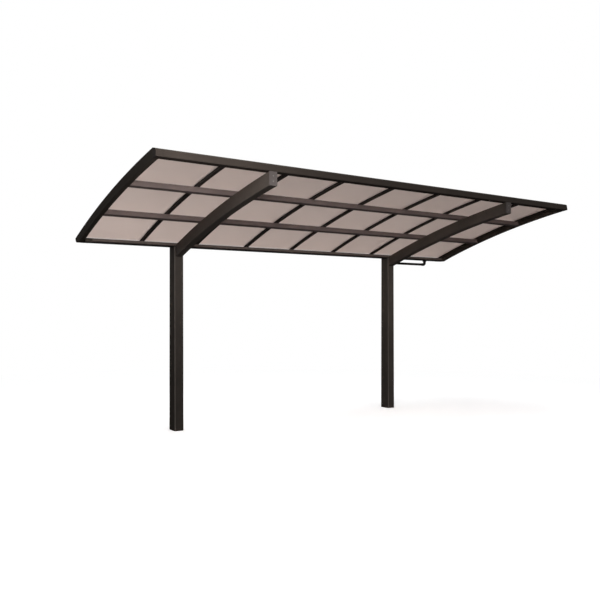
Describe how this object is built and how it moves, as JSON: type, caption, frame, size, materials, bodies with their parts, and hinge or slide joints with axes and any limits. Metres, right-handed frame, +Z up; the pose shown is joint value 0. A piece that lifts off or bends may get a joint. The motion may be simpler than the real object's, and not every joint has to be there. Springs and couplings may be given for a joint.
{
  "type": "cantilevered cycle-port carport",
  "caption": "Open cantilevered shelter: two rear posts carry arched beams, purlins and rafters under curved translucent sheets, with a front frame, side frames, a rear gutter and a drainpipe.",
  "frame": {"origin": "middle of the left post's foot, at ground level", "axes": "+X along the roof towards the right post, -Y towards the high open front, +Z up"},
  "size_m": [5.752, 2.3583, 2.8649],
  "materials": {
    "frame_aluminium": "satin dark bronze coat on extruded aluminium",
    "end_trim": "matt dark bronze",
    "drain_plastic": "smooth dark bronze plastic pipe",
    "sheet": "smoke-brown translucent polycarbonate, smooth"
  },
  "bodies": {
    "root": {"left_post": "frame_aluminium", "right_post": "frame_aluminium", "left_post_cap": "end_trim", "right_post_cap": "end_trim", "left_beam": "frame_aluminium", "right_beam": "frame_aluminium", "left_beam_cap": "end_trim", "right_beam_cap": "end_trim", "rear_purlin": "frame_aluminium", "front_purlin": "frame_aluminium", "front_frame": "frame_aluminium", "left_front_corner": "end_trim", "right_front_corner": "end_trim", "left_side_frame": "frame_aluminium", "right_side_frame": "frame_aluminium", "rafter_1": "frame_aluminium", "rafter_2": "frame_aluminium", "rafter_3": "frame_aluminium", "rafter_4": "frame_aluminium", "rafter_5": "frame_aluminium", "rafter_6": "frame_aluminium", "rafter_7": "frame_aluminium", "rafter_cover_1": "frame_aluminium", "rafter_cover_2": "frame_aluminium", "rafter_cover_3": "frame_aluminium", "rafter_cover_4": "frame_aluminium", "rafter_cover_5": "frame_aluminium", "rafter_cover_6": "frame_aluminium", "rafter_cover_7": "frame_aluminium", "roof_sheet_1": "sheet", "roof_sheet_2": "sheet", "roof_sheet_3": "sheet", "roof_sheet_4": "sheet", "roof_sheet_5": "sheet", "roof_sheet_6": "sheet", "roof_sheet_7": "sheet", "roof_sheet_8": "sheet", "gutter": "frame_aluminium", "left_gutter_cap": "end_trim", "right_gutter_cap": "end_trim", "downpipe_outlet": "drain_plastic", "downpipe_branch": "drain_plastic", "downpipe_elbow": "drain_plastic", "downpipe": "drain_plastic", "downpipe_clamps": "drain_plastic"}
  },
  "joints": []
}
